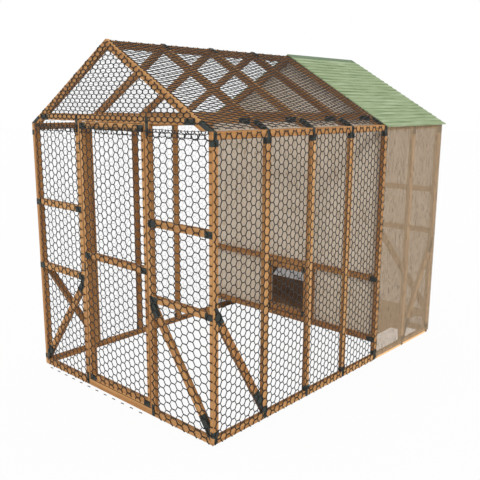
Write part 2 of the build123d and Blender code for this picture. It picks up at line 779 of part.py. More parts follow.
# The front leaf's net and the back leaf's siding stop clear of the hinge barrels
SKIN_LEFT = LEAF_LEFT + 2 * KNUCKLE_R
SKIN_RIGHT = LEAF_RIGHT - NET_GAP
door_net = netting(
    rectangle(SKIN_LEFT, SKIN_RIGHT, FRONT_LOW + NET_GAP, LEAF_TOP - NET_GAP),
    MESH_WIDE,
    MESH_TALL,
)
door_sheet = panel(SKIN_LEFT, SKIN_RIGHT, BACK_LOW + NET_GAP, LEAF_TOP - NET_GAP)
save("front_door_net", [upright(door_net, -PLATE - WIRE, -PLATE)])
save("back_door_siding", [upright(door_sheet, LENGTH + PLATE, LENGTH + SKIN_OUT)])

# Barrel bolts: a rod with a knob, in two loops on the door, that enters a loop on the post
LOOP_WIDE = 12.0
LOOP_HALF = 11.0
LOOP_SPARE = 9.0
LOOP_GAP = BOLT_THROW + 2 * (KNOB_R + LOOP_SPARE)
TIP_BACK = 6.0


def loop(x, y, toward):
    """A bored block of a bolt's guide, standing on a face at y."""
    face_y = y - toward * ROD_OUT
    block = slab(x, x + LOOP_WIDE, face_y, y + toward * LOOP_HALF, ROD_Z - LOOP_HALF, ROD_Z + LOOP_HALF)
    return block - Pos(x, y, ROD_Z) * Rot(0, 90, 0) * Cylinder(ROD_R + ROD_CLEAR, 4 * LOOP_WIDE)


def bolt(tip, y, toward, loops):
    """A rod drawn back with its tip at x, its knob between the two loops."""
    tail = loops[0] - LOOP_WIDE
    rod = Pos((tip + tail) / 2, y, ROD_Z) * Rot(0, 90, 0) * Cylinder(ROD_R, tip - tail)
    knob_x = loops[0] + LOOP_WIDE + KNOB_R + ROD_CLEAR
    knob = Pos(knob_x, y + toward * KNOB_OUT / 2, ROD_Z) * Rot(90, 0, 0) * Cylinder(KNOB_R, KNOB_OUT)
    return rod + knob


front_loops = (LEAF_RIGHT - EDGE - LOOP_GAP - 2 * LOOP_WIDE, LEAF_RIGHT - EDGE - LOOP_WIDE - NET_GAP)
back_loops = (LEAF_RIGHT - LOOP_GAP - 3 * LOOP_WIDE, LEAF_RIGHT - 2 * LOOP_WIDE)
KEEPER_X = DOOR_RIGHT + DOORWAY_LAP + ROD_CLEAR
BACK_ROD_Y = LENGTH + SKIN_OUT + ROD_OUT
front_guide = [loop(x, ROD_Y, 1) for x in front_loops]
back_guide = [loop(x, BACK_ROD_Y, 1) for x in back_loops]
save("front_bolt", [bolt(LEAF_RIGHT - TIP_BACK, ROD_Y, 1, front_loops)])
save("back_bolt", [bolt(LEAF_RIGHT - TIP_BACK, BACK_ROD_Y, 1, back_loops)])
save("front_bolt_guide", front_guide)
save("back_bolt_guide", back_guide)
save("bolt_keepers", [loop(KEEPER_X, ROD_Y, 1), loop(KEEPER_X, BACK_ROD_Y, 1)])

# Pop door: an open frame of the same timber, hung on the left stud
POP_LEAF_LEFT = POP_LEFT + POP_GAP
POP_LEAF_RIGHT = POP_RIGHT - POP_GAP
pop_frame = [
    timber(POP_LEAF_LEFT, POP_LEAF_LEFT + FACE, RUN_LENGTH, WALL_BACK, POP_LOW, POP_HIGH),
    timber(POP_LEAF_RIGHT - FACE, POP_LEAF_RIGHT, RUN_LENGTH, WALL_BACK, POP_LOW, POP_HIGH),
    timber(*POP_FRAME, RUN_LENGTH, WALL_BACK, POP_LOW, POP_LOW + FACE),
    timber(*POP_FRAME, RUN_LENGTH, WALL_BACK, POP_HIGH - FACE, POP_HIGH),
]
save("pop_door_frame", pop_frame)

# Corner plates of the pop door, set in from its hinge edge
PLATE_SIDE = 80.0
pop_plates = []
for x0, x1 in (
    (POP_LEAF_LEFT + 2 * KNUCKLE_R, POP_LEAF_LEFT + PLATE_SIDE),
    (POP_LEAF_RIGHT - PLATE_SIDE, POP_LEAF_RIGHT - 2 * KNUCKLE_R),
):
    for z0, z1 in (
        (POP_LOW + EASE, POP_LOW + FACE),
        (POP_HIGH - FACE, POP_HIGH - EASE),
    ):
        pop_plates.append(face_strap(x0, x1, z0, z1, RUN_LENGTH))
save("pop_door_brackets", pop_plates)
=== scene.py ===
from math import radians

import bmesh
import bpy
import numpy as np
from mathutils import Matrix, Vector


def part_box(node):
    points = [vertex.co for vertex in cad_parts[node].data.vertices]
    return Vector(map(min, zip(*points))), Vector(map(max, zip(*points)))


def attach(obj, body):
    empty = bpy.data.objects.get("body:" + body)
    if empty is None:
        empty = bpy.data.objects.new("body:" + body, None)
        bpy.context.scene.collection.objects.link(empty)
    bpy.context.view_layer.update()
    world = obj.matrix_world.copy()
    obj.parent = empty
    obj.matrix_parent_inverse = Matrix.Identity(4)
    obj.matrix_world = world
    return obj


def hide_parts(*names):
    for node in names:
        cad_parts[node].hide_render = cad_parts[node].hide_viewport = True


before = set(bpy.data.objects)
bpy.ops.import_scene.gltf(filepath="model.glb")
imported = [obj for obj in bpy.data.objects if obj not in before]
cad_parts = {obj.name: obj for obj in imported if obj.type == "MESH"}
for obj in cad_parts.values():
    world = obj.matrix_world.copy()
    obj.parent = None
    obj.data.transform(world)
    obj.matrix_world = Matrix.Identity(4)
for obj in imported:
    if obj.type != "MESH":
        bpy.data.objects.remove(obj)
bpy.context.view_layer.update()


# Timber frame. Every sill, post, rail, rafter, tie and brace is one section of sawn softwood with eased
# edges, stained a warm orange-brown. It is cut to length and square, and the rafters are cut to slope.
def seen(red, green, blue):
    """A colour as the eye reads it, 0 to 255, as linear light: each channel to the power 2.2."""
    return (*((channel / 255) ** 2.2 for channel in (red, green, blue)), 1.0)


def put(tree, kind, inputs=None, **settings):
    """Put a node in a shader tree. Its inputs are numbers, colours or other nodes' outputs."""
    node = tree.nodes.new("ShaderNode" + kind)
    for key, value in settings.items():
        setattr(node, key, value)
    for key, value in (inputs or {}).items():
        if isinstance(value, bpy.types.NodeSocket):
            tree.links.new(value, node.inputs[key])
        else:
            node.inputs[key].default_value = value
    return node


def stretched_noise(tree, place, scale, detail=2.0):
    """Noise from 0 to 1, its grains as many to the metre along x, y and z as scale says."""
    mapping = put(tree, "Mapping", {"Vector": place, "Scale": scale})
    noise = put(tree, "TexNoise", {"Vector": mapping.outputs[0], "Scale": 1.0, "Detail": detail})
    return noise.outputs["Fac"]


def ranged(tree, value, low, high, to_low=0.0, to_high=1.0):
    """A value between low and high, moved to run from to_low to to_high."""
    inputs = {"Value": value, "From Min": low, "From Max": high, "To Min": to_low, "To Max": to_high}
    return put(tree, "MapRange", inputs).outputs[0]


def blended(tree, factor, first, second, mode="MIX"):
    """Two colours mixed by a factor."""
    mix = put(tree, "Mix", {0: factor, 6: first, 7: second}, data_type="RGBA", blend_type=mode)
    return mix.outputs[2]


def sums(tree, operation, first, second):
    """One sum done on two values."""
    return put(tree, "Math", {0: first, 1: second}, operation=operation).outputs[0]


def effect(name, inputs, outputs):
    """An empty effect that several materials share, with its inputs' and outputs' sockets."""
    group = bpy.data.node_groups.new(name, "ShaderNodeTree")
    for side, sockets in (("INPUT", inputs), ("OUTPUT", outputs)):
        for label, kind in sockets.items():
            group.interface.new_socket(label, in_out=side, socket_type="NodeSocket" + kind)
    return group, group.nodes.new("NodeGroupInput").outputs, group.nodes.new("NodeGroupOutput").inputs


def softwood_effect():
    """Softwood with its grain along z: broad figure, fine fibres, a tone for each length, and knots."""
    group, given, made = effect(
        "softwood",
        {"Place": "Vector", "Pale": "Color", "Dark": "Color"},
        {"Colour": "Color", "Roughness": "Float", "Height": "Float"},
    )
    place = given["Place"]
    figure = stretched_noise(group, place, (26, 26, 1.1), 4.0)
    fibres = stretched_noise(group, place, (190, 190, 5), 2.0)
    lengths = stretched_noise(group, place, (2.3, 2.3, 0.3), 0.0)
    broad = ranged(group, figure, 0.35, 0.65, 0.0, 0.5)
    fine = ranged(group, fibres, 0.3, 0.7, 0.0, 0.25)
    each_length = ranged(group, lengths, 0.3, 0.7, -0.1, 0.35)
    grain = sums(group, "ADD", sums(group, "ADD", broad, fine), each_length)
    wood = blended(group, grain, given["Dark"], given["Pale"])
    cells = put(group, "Mapping", {"Vector": place, "Scale": (8.0, 8.0, 2.0)})
    knots = put(group, "TexVoronoi", {"Vector": cells.outputs[0], "Scale": 1.0})
    knot = ranged(group, knots.outputs["Distance"], 0.06, 0.15, 0.75, 0.0)
    group.links.new(blended(group, knot, wood, seen(88, 50, 24)), made["Colour"])
    group.links.new(ranged(group, fibres, 0.3, 0.7, 0.75, 0.55), made["Roughness"])
    group.links.new(sums(group, "ADD", fibres, sums(group, "MULTIPLY", figure, 0.5)), made["Height"])
    return group


def eased_effect():
    """1 on the eased edges, where no part of the normal is as long as 0.8, and 0 on the flat faces."""
    group, given, made = effect("eased_edges", {"Normal": "Vector"}, {"Mask": "Float"})
    size = put(group, "VectorMath", {0: given["Normal"]}, operation="ABSOLUTE")
    parts = put(group, "SeparateXYZ", {0: size.outputs[0]})
    longest = sums(group, "MAXIMUM", parts.outputs[1], parts.outputs[2])
    longest = sums(group, "MAXIMUM", parts.outputs[0], longest)
    group.links.new(ranged(group, longest, 0.74, 0.79, 1.0, 0.0), made["Mask"])
    return group


SLOPE = radians(30)
# Planes a little inside the frame's outermost faces, so that those faces lie past them.
SIDE_SLACK = 0.0005
END_SLACK = 0.0008
SLOPE_SLACK = 0.004
OUTER_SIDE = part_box("posts_right")[1].x - SIDE_SLACK
OUTER_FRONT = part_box("door_posts")[0].y + END_SLACK
OUTER_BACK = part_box("door_posts")[1].y - END_SLACK
OUTER_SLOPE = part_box("rafters_right")[1].z - SLOPE_SLACK
SIDING_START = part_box("siding_right")[0].y


def painted_shade_and_light_effect():
    """Mask is 0 on the frame's outermost faces and 1 further in, where it lays painted shade on the
    timber. The outermost lie past a side, front or back plane, or above the rafters' tops, where height
    plus distance from the ridge times the slope is greatest. Sided is 1 on the outermost faces that the
    siding covers, where it lays painted light on the timber."""
    group, given, made = effect("painted_shade_and_light_faces", {"Place": "Vector"}, {"Mask": "Float", "Sided": "Float"})
    parts = put(group, "SeparateXYZ", {0: given["Place"]})
    aside = put(group, "Math", {0: parts.outputs[0]}, operation="ABSOLUTE").outputs[0]
    at_side = sums(group, "GREATER_THAN", aside, OUTER_SIDE)
    at_front = sums(group, "LESS_THAN", parts.outputs[1], OUTER_FRONT)
    at_back = sums(group, "GREATER_THAN", parts.outputs[1], OUTER_BACK)
    above = sums(group, "ADD", parts.outputs[2], sums(group, "MULTIPLY", aside, np.tan(SLOPE)))
    on_top = sums(group, "GREATER_THAN", above, OUTER_SLOPE)
    outer = sums(group, "MAXIMUM", at_side, at_front)
    outer = sums(group, "MAXIMUM", outer, sums(group, "MAXIMUM", at_back, on_top))
    group.links.new(sums(group, "SUBTRACT", 1.0, outer), made["Mask"])
    covered = sums(group, "GREATER_THAN", parts.outputs[1], SIDING_START)
    group.links.new(sums(group, "MULTIPLY", covered, outer), made["Sided"])
    return group


softwood = softwood_effect()
eased_edges = eased_effect()
painted_shade_and_light_faces = painted_shade_and_light_effect()
# Painted shade: the frame's inner faces are multiplied by this tone, in place of the shade inside the frame.
PAINTED_SHADE_TONE = (0.70, 0.64, 0.54, 1.0)
# Painted light: how far the timber under the siding is lightened.
PAINTED_LIGHT_SHARE = 0.95
GRAIN_STRENGTH = 0.35
GRAIN_DEPTH = 0.0006
# Painted light: the colour that timber under the siding is lightened towards, making up for the siding's shadow
# on it.
TIMBER_PAINTED_LIGHT = seen(255, 206, 144)
TIMBER_PALE = seen(214, 162, 104)
TIMBER_DARK = seen(158, 106, 56)
# Painted shade: the colour the eased edges are darkened towards, a dark line where each edge turns from the
# light.
TIMBER_EDGE_SHADE = seen(84, 52, 26)


def sawn_timber(name, turns, where=None, folded=False, pale=TIMBER_PALE, dark=TIMBER_DARK, edge=0.7):
    """Sawn timber whose grain lies along z once turned. With two turns, where gives 1 for the second.
    Folded mirrors the grain about the object's middle, as opposite braces lean opposite ways. Timber
    that siding covers gets painted light, paler to make up for the siding's shadow on it; the frame's
    inner faces get painted shade; and edge is how far painted shade darkens the eased edges."""
    material = bpy.data.materials.new(name)
    material.use_nodes = True
    tree = material.node_tree
    shader = tree.nodes["Principled BSDF"]
    surface = put(tree, "TexCoord")
    place = surface.outputs["Object"]
    if folded:
        place = put(tree, "VectorMath", {0: place}, operation="ABSOLUTE").outputs[0]
    turned = [put(tree, "Mapping", {"Vector": place, "Rotation": turn}).outputs[0] for turn in turns]
    along = turned[0]
    if where:
        choice = {0: where(tree, place), 4: turned[0], 5: turned[1]}
        along = put(tree, "Mix", choice, data_type="VECTOR").outputs[1]
    wood = put(tree, "Group", node_tree=softwood)
    wood.inputs["Pale"].default_value = pale
    wood.inputs["Dark"].default_value = dark
    tree.links.new(along, wood.inputs["Place"])
    painted_masks = put(tree, "Group", {"Place": surface.outputs["Object"]}, node_tree=painted_shade_and_light_faces)
    # Painted shade on the frame's inner faces.
    colour = blended(tree, painted_masks.outputs["Mask"], wood.outputs["Colour"], PAINTED_SHADE_TONE, "MULTIPLY")
    # Painted light on the outer faces that the siding covers.
    painted_light = sums(tree, "MULTIPLY", painted_masks.outputs["Sided"], PAINTED_LIGHT_SHARE)
    colour = blended(tree, painted_light, colour, TIMBER_PAINTED_LIGHT)
    # Painted shade on the eased edges.
    if edge:
        eased = put(tree, "Group", {"Normal": surface.outputs["Normal"]}, node_tree=eased_edges)
        mask = sums(tree, "MULTIPLY", eased.outputs["Mask"], edge)
        colour = blended(tree, mask, colour, TIMBER_EDGE_SHADE)
    tree.links.new(colour, shader.inputs["Base Color"])
    tree.links.new(wood.outputs["Roughness"], shader.inputs["Roughness"])
    raised = {"Height": wood.outputs["Height"], "Strength": GRAIN_STRENGTH, "Distance": GRAIN_DEPTH}
    tree.links.new(put(tree, "Bump", raised).outputs[0], shader.inputs["Normal"])
    return material


def finish_in(material, *nodes):
    """Give CAD nodes a finish."""
    for node in nodes:
        for material_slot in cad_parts[node].material_slots:
            material_slot.material = material


UPRIGHT = (0.0, 0.0, 0.0)
ALONG_X = (0.0, radians(-90), 0.0)
ALONG_Y = (radians(90), 0.0, 0.0)
SIDE_BRACE_LEAN = radians(30.5)
END_BRACE_LEAN = radians(36.6)
finish_in(
    sawn_timber("timber_upright", [UPRIGHT]),
    "posts_right", "posts_left", "door_posts", "front_door_stiles", "back_door_stiles",
)
finish_in(sawn_timber("timber_lengthwise", [ALONG_Y]), "side_sills", "wall_plates", "ridge_beam")
finish_in(
    sawn_timber("timber_crosswise", [ALONG_X]),
    "end_sills", "rails_front", "rails_back", "ties", "floor_joists",
    "front_door_rails", "back_door_rails",
)
finish_in(sawn_timber("rafter_right", [(0.0, radians(90) - SLOPE, 0.0)], edge=0.0), "rafters_right")
finish_in(sawn_timber("rafter_left", [(0.0, SLOPE - radians(90), 0.0)], edge=0.0), "rafters_left")
finish_in(sawn_timber("side_brace", [(SIDE_BRACE_LEAN, 0.0, 0.0)], folded=True, edge=0.0), "braces_sides")
finish_in(sawn_timber("end_brace", [(0.0, END_BRACE_LEAN, 0.0)], folded=True, edge=0.0), "braces_ends")


# Wall between run and coop, and the pop door in it. Two rails with two studs between them, and an
# open frame of the same timber hung on the left stud, so the grain turns from piece to piece.
POP_LOW, POP_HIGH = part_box("pop_door_frame")
TIMBER_FACE = 0.0635
STUDS = (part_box("coop_wall_frame")[0].z + TIMBER_FACE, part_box("coop_wall_frame")[1].z - TIMBER_FACE)


def between_rails(tree, place):
    """1 at the studs' height, between the two rails."""
    height = put(tree, "SeparateXYZ", {0: place}).outputs[2]
    above = sums(tree, "GREATER_THAN", height, STUDS[0])
    return sums(tree, "MULTIPLY", above, sums(tree, "LESS_THAN", height, STUDS[1]))


def at_stiles(tree, place):
    """1 within a timber's width of the pop door's two upright edges."""
    across = put(tree, "SeparateXYZ", {0: place}).outputs[0]
    first = sums(tree, "LESS_THAN", across, POP_LOW.x + TIMBER_FACE)
    return sums(tree, "MAXIMUM", first, sums(tree, "GREATER_THAN", across, POP_HIGH.x - TIMBER_FACE))


finish_in(sawn_timber("coop_wall_timber", [ALONG_X, UPRIGHT], between_rails), "coop_wall_frame")
finish_in(sawn_timber("pop_door_timber", [ALONG_X, UPRIGHT], at_stiles), "pop_door_frame")

# Coop floor. One thin board laid on the joists, a darker brown than the frame, with its grain
# along the coop.
finish_in(
    sawn_timber("floor_board", [ALONG_Y], pale=seen(176, 132, 84), dark=seen(128, 90, 52), edge=0.0),
    "coop_floor",
)


# Steel brackets. Bent plate in a dark green powder coat, a little chalky and scuffed, wrapped over
# each joint of the frame and screwed through its faces.
def worn_effect():
    """Chalky patches and speckle on a coated metal."""
    group, given, made = effect(
        "worn_coat",
        {"Place": "Vector", "Coat": "Color", "Worn": "Color"},
        {"Colour": "Color", "Roughness": "Float", "Height": "Float"},
    )
    patches = stretched_noise(group, given["Place"], (14, 14, 14), 5.0)
    speckle = stretched_noise(group, given["Place"], (420, 420, 420), 1.0)
    wear = sums(group, "MULTIPLY", ranged(group, patches, 0.45, 0.75), ranged(group, speckle, 0.4, 0.7))
    group.links.new(blended(group, wear, given["Coat"], given["Worn"]), made["Colour"])
    group.links.new(ranged(group, patches, 0.3, 0.7, 0.38, 0.62), made["Roughness"])
    group.links.new(speckle, made["Height"])
    return group


worn_coat = worn_effect()


def coated_metal(name, coat, worn, metallic=0.0, bump=0.15):
    """Metal under a coat that wears to a second colour."""
    material = bpy.data.materials.new(name)
    material.use_nodes = True
    tree = material.node_tree
    shader = tree.nodes["Principled BSDF"]
    shader.inputs["Metallic"].default_value = metallic
    place = put(tree, "TexCoord").outputs["Object"]
    surface = put(tree, "Group", node_tree=worn_coat)
    tree.links.new(place, surface.inputs["Place"])
    surface.inputs["Coat"].default_value = coat
    surface.inputs["Worn"].default_value = worn
    tree.links.new(surface.outputs["Colour"], shader.inputs["Base Color"])
    tree.links.new(surface.outputs["Roughness"], shader.inputs["Roughness"])
    raised = put(tree, "Bump", {"Height": surface.outputs["Height"], "Strength": bump, "Distance": 0.0003})
    tree.links.new(raised.outputs[0], shader.inputs["Normal"])
    return material


bracket_coat = coated_metal("bracket_coat", seen(30, 37, 32), seen(70, 82, 72))
finish_in(
    bracket_coat,
    "brace_channels", "foot_brackets", "head_brackets", "door_post_straps", "rafter_shoes", "tie_plates",
    "ridge_saddles", "rail_brackets", "joist_hangers",
    "front_door_brackets", "back_door_brackets", "pop_door_brackets",
)


# Bracket screws. Pan-head screws in the same coat, each a low dome with a round socket, set in rows
# on the plates' faces. The head is turned about its own axis.
def solids(node):
    """Lowest and highest corner of each separate solid in a CAD node. Corners in one place count as
    one point, and points that share a triangle take the smaller number until nothing changes."""
    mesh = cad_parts[node].data
    places = np.empty(len(mesh.vertices) * 3)
    mesh.vertices.foreach_get("co", places)
    mesh.calc_loop_triangles()
    corners = np.empty(len(mesh.loop_triangles) * 3, int)
    mesh.loop_triangles.foreach_get("vertices", corners)
    points, same = np.unique(np.round(places.reshape(-1, 3), 5), axis=0, return_inverse=True)
    triangles = same.reshape(-1)[corners].reshape(-1, 3)
    number = np.arange(len(points))
    before = None
    while before is None or (number != before).any():
        before = number.copy()
        smallest = np.repeat(number[triangles].min(axis=1)[:, None], 3, axis=1)
        np.minimum.at(number, triangles, smallest)
        number = number[number]
    low = np.array([points[number == solid].min(axis=0) for solid in np.unique(number)])
    high = np.array([points[number == solid].max(axis=0) for solid in np.unique(number)])
    return low, high


def lay_surface(name, points, quads, material, body, finish, crease=35):
    """A closed piece from points and four-cornered faces. Points in one place are merged, and points
    that no face uses are left out."""
    used, quads = np.unique(quads, return_inverse=True)
    points, quads = points[used], quads.reshape(-1, 4)
    mesh = bpy.data.meshes.new(name)
    mesh.vertices.add(len(points))
    mesh.vertices.foreach_set("co", points.astype(np.float32).ravel())
    mesh.loops.add(quads.size)
    mesh.loops.foreach_set("vertex_index", quads.astype(np.int32).ravel())
    mesh.polygons.add(len(quads))
    mesh.polygons.foreach_set("loop_start", np.arange(0, quads.size, 4, dtype=np.int32))
    mesh.update(calc_edges=True)
    work = bmesh.new()
    work.from_mesh(mesh)
    bmesh.ops.remove_doubles(work, verts=work.verts, dist=1e-6)
    work.to_mesh(mesh)
    work.free()
    mesh.polygons.foreach_set("use_smooth", np.ones(len(mesh.polygons), bool))
    mesh.set_sharp_from_angle(angle=radians(crease))
    mesh.materials.append(material)
    piece = bpy.data.objects.new(name, mesh)
    bpy.context.scene.collection.objects.link(piece)
    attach(piece, body)
    return piece


def grid_faces(copies, rows, columns):
    """Faces between the rows of many equal grids of points, each row closed on itself."""
    copy, row, column = np.meshgrid(range(copies), range(rows - 1), range(columns), indexing="ij")
    first = (copy * rows + row) * columns
    beside = (column + 1) % columns
    corners = (first + column, first + beside, first + columns + beside, first + columns + column)
    return np.stack(corners, axis=-1).reshape(-1, 4)


# A head's radius and height in millimetres, from its rim over the dome to the bottom of its socket.
SCREW_PROFILE = np.array(
    [(4.2, 0.0), (4.2, 0.7), (3.4, 1.7), (1.9, 2.1), (1.5, 2.0), (1.3, 0.9), (0.0, 0.9)]
) / 1000
SCREW_SIDES = 10
# Along the wall and up the post, from a post band's lower or upper end.
BAND_SCREWS = ((0.0, 0.018), (0.0, 0.042), (-0.022, 0.084), (0.022, 0.084))
SHOE_REACH = 0.07
PLATE_INSET = 0.014
PLATE_PROUD = 0.001
BACK_HALF = 1.5
FRONT_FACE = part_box("door_posts")[0].y
BACK_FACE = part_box("door_posts")[1].y


def bracket_screws(name, places, outward, body):
    """Screw heads at places, each facing outward: profile radius r and height h turned through angle
    a about outward n gives place + r cos a p + r sin a q + h n, with p and q square to n."""
    n = outward / np.linalg.norm(outward, axis=1, keepdims=True)
    p = np.cross(n, (0.31, 0.52, 0.79))
    p /= np.linalg.norm(p, axis=1, keepdims=True)
    q = np.cross(n, p)
    angle = np.arange(SCREW_SIDES) * 2 * np.pi / SCREW_SIDES
    radius, height = SCREW_PROFILE[:, 0, None], SCREW_PROFILE[:, 1, None]
    turned = (
        (radius * np.cos(angle))[None, :, :, None] * p[:, None, None]
        + (radius * np.sin(angle))[None, :, :, None] * q[:, None, None]
        + (height * np.ones(SCREW_SIDES))[None, :, :, None] * n[:, None, None]
    )
    points = places[:, None, None] + turned
    quads = grid_faces(len(places), len(SCREW_PROFILE), SCREW_SIDES)
    lay_surface(name, points.reshape(-1, 3), quads, bracket_coat, body, "bracket_steel")


def wall_band_screws(node, end, way):
    """Two screws down a post band's strap and two across the band, from the end given, 0 low or 1 high."""
    corners = solids(node)
    middle = (corners[0] + corners[1]) / 2
    side = np.sign(middle[:, 0])
    face = np.where(side > 0, corners[1][:, 0], corners[0][:, 0])
    places, outward = [], []
    for along, up in BAND_SCREWS:
        places.append(np.stack([face, middle[:, 1] + along, corners[end][:, 2] + way * up], axis=1))
        outward.append(np.stack([side, 0 * side, 0 * side], axis=1))
    return np.concatenate(places), np.concatenate(outward)


def plate_screws(node):
    """Four screws in from the corners of each flat plate, on its outer face, front or back. The ties'
    plates all face the front."""
    low, high = solids(node)
    backward = low[:, 1] > BACK_HALF
    if node == "tie_plates":
        backward = np.zeros(len(low), bool)
    face = np.where(backward, high[:, 1], low[:, 1])
    places, outward = [], []
    for x in (low[:, 0] + PLATE_INSET, high[:, 0] - PLATE_INSET):
        for z in (low[:, 2] + PLATE_INSET, high[:, 2] - PLATE_INSET):
            places.append(np.stack([x, face, z], axis=1))
            outward.append(np.stack([0 * face, np.where(backward, 1.0, -1.0), 0 * face], axis=1))
    return np.concatenate(places), np.concatenate(outward)


def slope_screws(node):
    """Two screws along the middle of each rafter shoe's front side, spaced up the slope."""
    low, high = solids(node)
    middle = (low + high) / 2
    inward = -np.sign(middle[:, 0])
    up = np.stack([inward * np.cos(SLOPE), 0 * inward, 0 * inward + np.sin(SLOPE)], axis=1)
    front = np.stack([middle[:, 0], low[:, 1], middle[:, 2]], axis=1)
    places = np.concatenate([front - up * SHOE_REACH / 2, front + up * SHOE_REACH / 2])
    return places, np.tile((0.0, -1.0, 0.0), (len(places), 1))


def channel_screws(node):
    """A screw in the middle of each brace channel, on the wall's outer face. The end walls' channels
    stand proud of the frame's front and back faces."""
    low, high = solids(node)
    middle = (low + high) / 2
    at_front, at_back = low[:, 1] < FRONT_FACE - PLATE_PROUD, high[:, 1] > BACK_FACE + PLATE_PROUD
    side = np.sign(middle[:, 0])
    outward = np.stack([side, 0 * side, 0 * side], axis=1)
    outward[at_front] = (0, -1, 0)
    outward[at_back] = (0, 1, 0)
    face = middle.copy()
    on_side = ~(at_front | at_back)
    face[on_side, 0] = np.where(side > 0, high[:, 0], low[:, 0])[on_side]
    face[at_front, 1] = low[at_front, 1]
    face[at_back, 1] = high[at_back, 1]
    return face, outward


root_screws = [
    wall_band_screws("foot_brackets", 0, 1),
    wall_band_screws("head_brackets", 1, -1),
    plate_screws("rail_brackets"),
    plate_screws("door_post_straps"),
    plate_screws("tie_plates"),
    slope_screws("rafter_shoes"),
    channel_screws("brace_channels"),
]
bracket_screws("frame_screws", *(np.concatenate(parts) for parts in zip(*root_screws)), "root")
bracket_screws("front_door_screws", *plate_screws("front_door_brackets"), "front_door")
bracket_screws("back_door_screws", *plate_screws("back_door_brackets"), "back_door")
bracket_screws("pop_door_screws", *plate_screws("pop_door_brackets"), "pop_door")


# Wire netting. Dark coated wire, each wire wound once round the one above at every second column and
# round the one below at the columns between, which leaves tall six-sided gaps. It is cut with snips.
TWIST_RADIUS = 0.0015
TWIST_SHARE = 0.62
WIRE_CUT = 0.006
NET_SWAY = 0.0006
WIRE_SIDES = 4
# The wire is drawn as thick as its lines look in the reference picture.
WIRE_RADIUS = 0.0040
EDGE_RADIUS = 0.0032
EDGE_WANDER = 0.0018
EDGE_STEP = 0.05
RIGHTWARD = (1, 0, 0)
LEFTWARD = (-1, 0, 0)
BACKWARD = (0, 1, 0)
FORWARD = (0, -1, 0)
UPWARD = (0, 0, 1)
net_wire = coated_metal("net_wire", seen(22, 20, 18), seen(44, 40, 36), bump=0.0)


def drawn_wire(lines, out, kept, radius=WIRE_RADIUS):
    """Round wire along many lines of points at once. A ring at point c lies at
    c + radius (cos a n + sin a out), with n square to the line and to out. A point that isn't kept has
    no ring: it closes the wire at the kept point beside it."""
    along = np.gradient(lines, axis=1)
    n = np.cross(along, out)
    n /= np.linalg.norm(n, axis=2, keepdims=True) + 1e-12
    after = np.zeros_like(kept)
    after[:, 1:] = kept[:, :-1]
    before = np.zeros_like(kept)
    before[:, :-1] = kept[:, 1:]
    centres = lines.copy()
    closes = ~kept & after
    opens = ~kept & before & ~after
    centres[closes] = np.roll(lines, 1, axis=1)[closes]
    centres[opens] = np.roll(lines, -1, axis=1)[opens]
    angle = (np.arange(WIRE_SIDES) + 0.5) * 2 * np.pi / WIRE_SIDES
    ring = np.cos(angle)[:, None] * n[:, :, None] + np.sin(angle)[:, None] * np.asarray(out)
    points = centres[:, :, None] + radius * kept[:, :, None, None] * ring
    quads = grid_faces(len(lines), lines.shape[1], WIRE_SIDES).reshape(len(lines), -1, WIRE_SIDES, 4)
    shown = kept[:, 1:] | kept[:, :-1]
    return points.reshape(-1, 3), quads[shown].reshape(-1, 4)


def net_lines(wide, tall, column_step, half_gap):
    """The net's wires as points (along, across, out of plane). Wire j runs in its own band, from height
    j to j + 1 half gaps, and changes side at each column. At a column it winds once round its
    neighbour, at a cosine and a sine of the way through; between columns it follows half a cosine."""
    columns = int(np.ceil(wide / column_step)) + 2
    wires = int(np.ceil(tall / half_gap)) + 1
    twist_long = TWIST_SHARE * column_step
    wire, column = np.meshgrid(np.arange(wires), np.arange(columns), indexing="ij")
    side = (wire + column) % 2
    sign = 1.0 - 2.0 * side
    wound = np.array([0.0, 0.25, 0.5, 0.75, 1.0])
    crossing = np.array([1 / 3, 2 / 3])
    turn = 2 * np.pi * wound
    bar_along = column[..., None] * column_step + (wound - 0.5) * twist_long
    bar_up = (wire + side)[..., None] * half_gap + sign[..., None] * TWIST_RADIUS * np.cos(turn)
    bar_out = sign[..., None] * TWIST_RADIUS * np.sin(turn)
    start_along = column[..., None] * column_step + twist_long / 2
    cross_along = start_along + crossing * (column_step - twist_long)
    start_up = (wire + side) * half_gap + sign * TWIST_RADIUS
    end_up = (wire + 1 - side) * half_gap - sign * TWIST_RADIUS
    cross_up = start_up[..., None] + (end_up - start_up)[..., None] * (1 - np.cos(np.pi * crossing)) / 2
    along = np.concatenate([bar_along, cross_along], axis=2)
    up = np.concatenate([bar_up, cross_up], axis=2)
    out = np.concatenate([bar_out, 0 * cross_up], axis=2)
    return np.stack([along, up, out], axis=-1).reshape(wires, -1, 3)


def inside(points, corners, ragged, seed):
    """Which points lie inside an outline whose corners go anticlockwise, less a cut that differs from
    wire to wire. A point's distance inside an edge is the cross product of the edge and the way to
    the point, over the edge's length. Ragged gives each edge's deepest cut in metres, or one for all."""
    cut = np.random.default_rng(seed).uniform(0, 1, (len(points), 1))
    kept = np.ones(points.shape[:2], bool)
    deepest = np.broadcast_to(ragged, len(corners))
    for (x0, y0), (x1, y1), depth in zip(corners, corners[1:] + corners[:1], deepest):
        length = np.hypot(x1 - x0, y1 - y0)
        distance = ((x1 - x0) * (points[..., 1] - y0) - (y1 - y0) * (points[..., 0] - x0)) / length
        kept &= distance > cut * depth
    return kept


